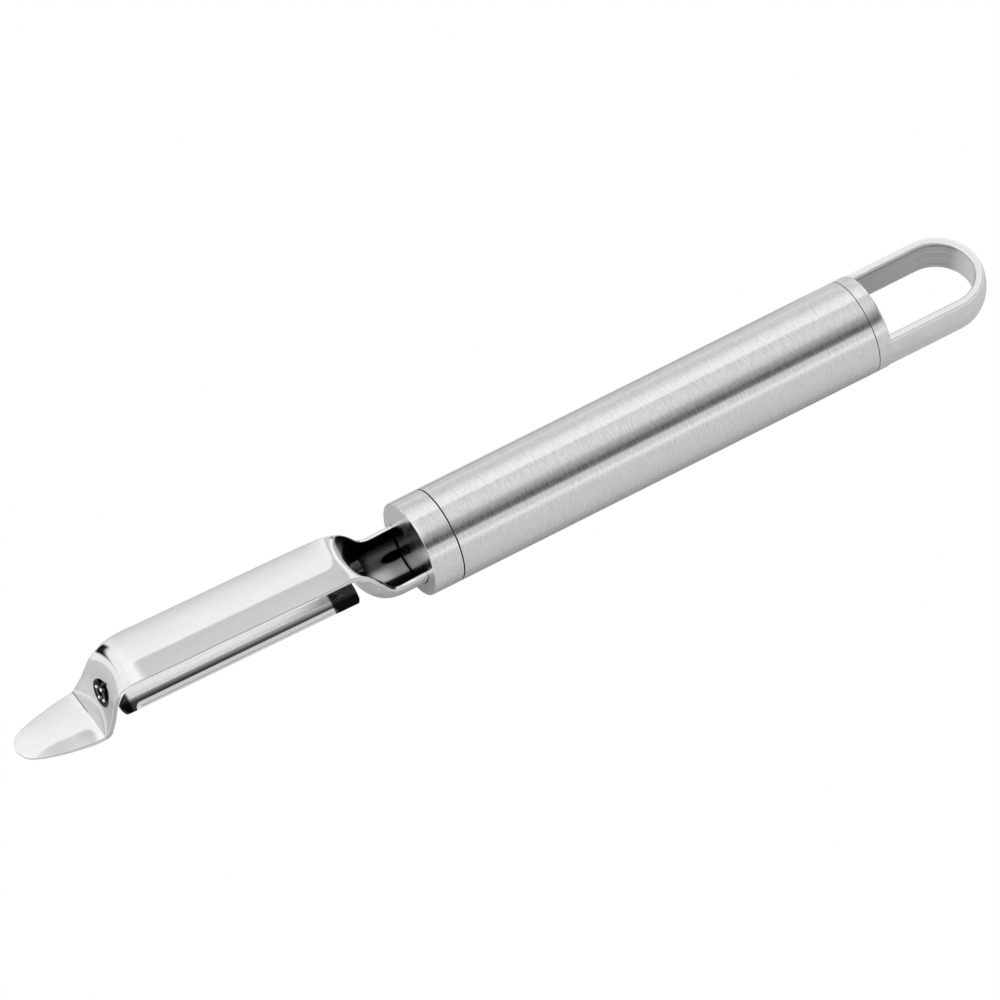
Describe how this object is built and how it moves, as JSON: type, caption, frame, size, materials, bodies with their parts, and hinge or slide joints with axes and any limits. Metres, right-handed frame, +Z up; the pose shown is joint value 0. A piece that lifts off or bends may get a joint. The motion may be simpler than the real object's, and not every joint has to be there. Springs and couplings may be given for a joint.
{
  "type": "swivel vegetable peeler",
  "caption": "Straight swivel vegetable peeler of brushed stainless steel with a stamped arched head, a swinging blade, a round tubular handle and a hanging loop.",
  "frame": {"origin": "under the middle of the tool's length, level with the underside of the handle", "axes": "+X from the tongue at the head to the hanging loop, +Z up through the crown of the arched head, +Y to the left of someone looking along +X"},
  "size_m": [0.2006, 0.018, 0.0194],
  "materials": {
    "polished_steel": "polished",
    "blade_steel": "polished",
    "brushed_steel": "brushed"
  },
  "bodies": {
    "handle": {"head_frame": "polished_steel", "front_ferrule": "brushed_steel", "handle_tube": "brushed_steel", "end_loop": "brushed_steel"},
    "blade": {"swivel_blade": "blade_steel"}
  },
  "joints": [
    {"name": "blade_swivel", "type": "hinge", "parent": "handle", "child": "blade", "pos_m": [-0.08264, 0, 0.01212], "axis": [0.9997, 0, -0.0257], "range_deg": [-33, 33]}
  ]
}
